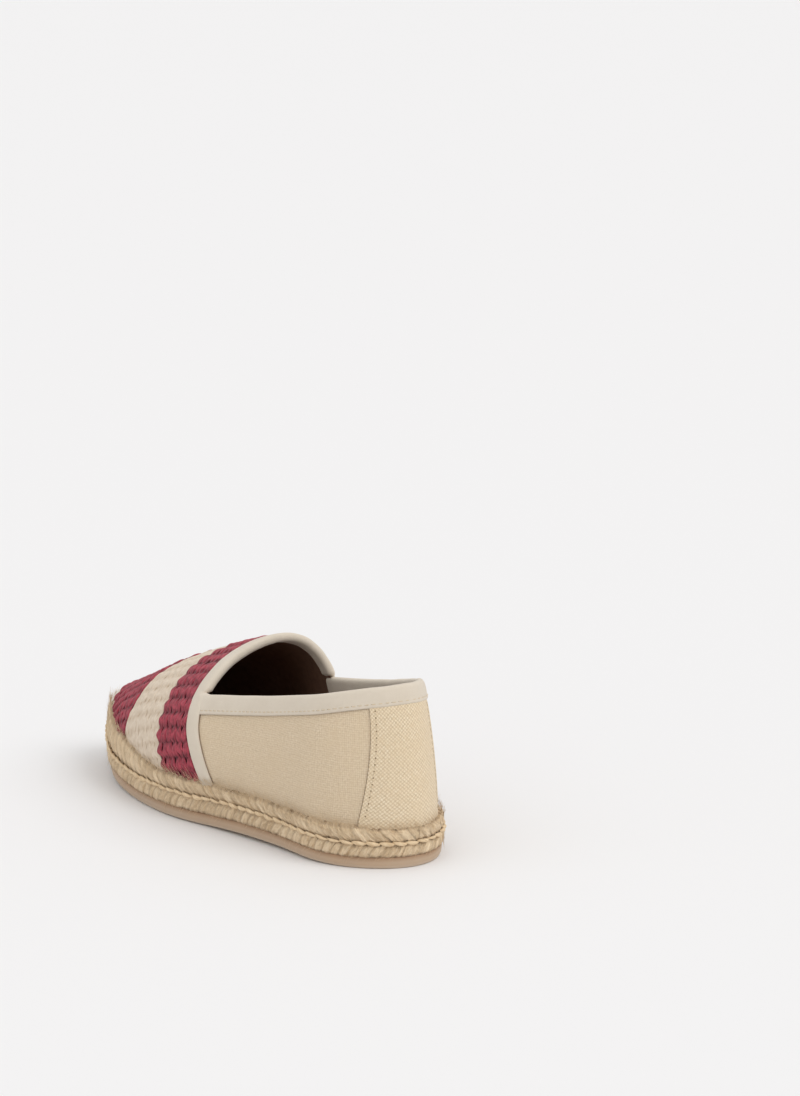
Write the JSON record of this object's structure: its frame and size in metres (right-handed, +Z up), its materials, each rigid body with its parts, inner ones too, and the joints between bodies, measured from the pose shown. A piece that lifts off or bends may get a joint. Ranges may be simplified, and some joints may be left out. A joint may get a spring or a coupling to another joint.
{
  "type": "espadrille",
  "caption": "Left slip-on espadrille: round toe, corded woven vamp, low canvas quarters with a heel panel, bound edges, braided jute midsole on a thin rubber outsole.",
  "frame": {"origin": "middle of the shoe's bounding box, on the floor plane under the outsole", "axes": "+Y from heel to toe along the sole, +X towards the inner (medial) side of this left shoe, +Z up from the floor"},
  "size_m": [0.099, 0.2534, 0.0836],
  "materials": {
    "outsole_rubber": "matte, slightly translucent beige crepe rubber",
    "jute_braid": "matte natural jute plait",
    "insole_lining": "matte dark lining",
    "upper_canvas": "matte beige canvas, vamp in burgundy and off-white woven cord",
    "panel_canvas": "matte beige canvas cut on the bias",
    "binding_tape": "matte off-white cotton tape"
  },
  "bodies": {
    "root": {"outsole": "outsole_rubber", "braided_midsole": "jute_braid", "insole": "insole_lining", "upper": "upper_canvas", "heel_panel": "panel_canvas", "collar_binding": "binding_tape", "vamp_binding": "binding_tape"}
  },
  "joints": []
}
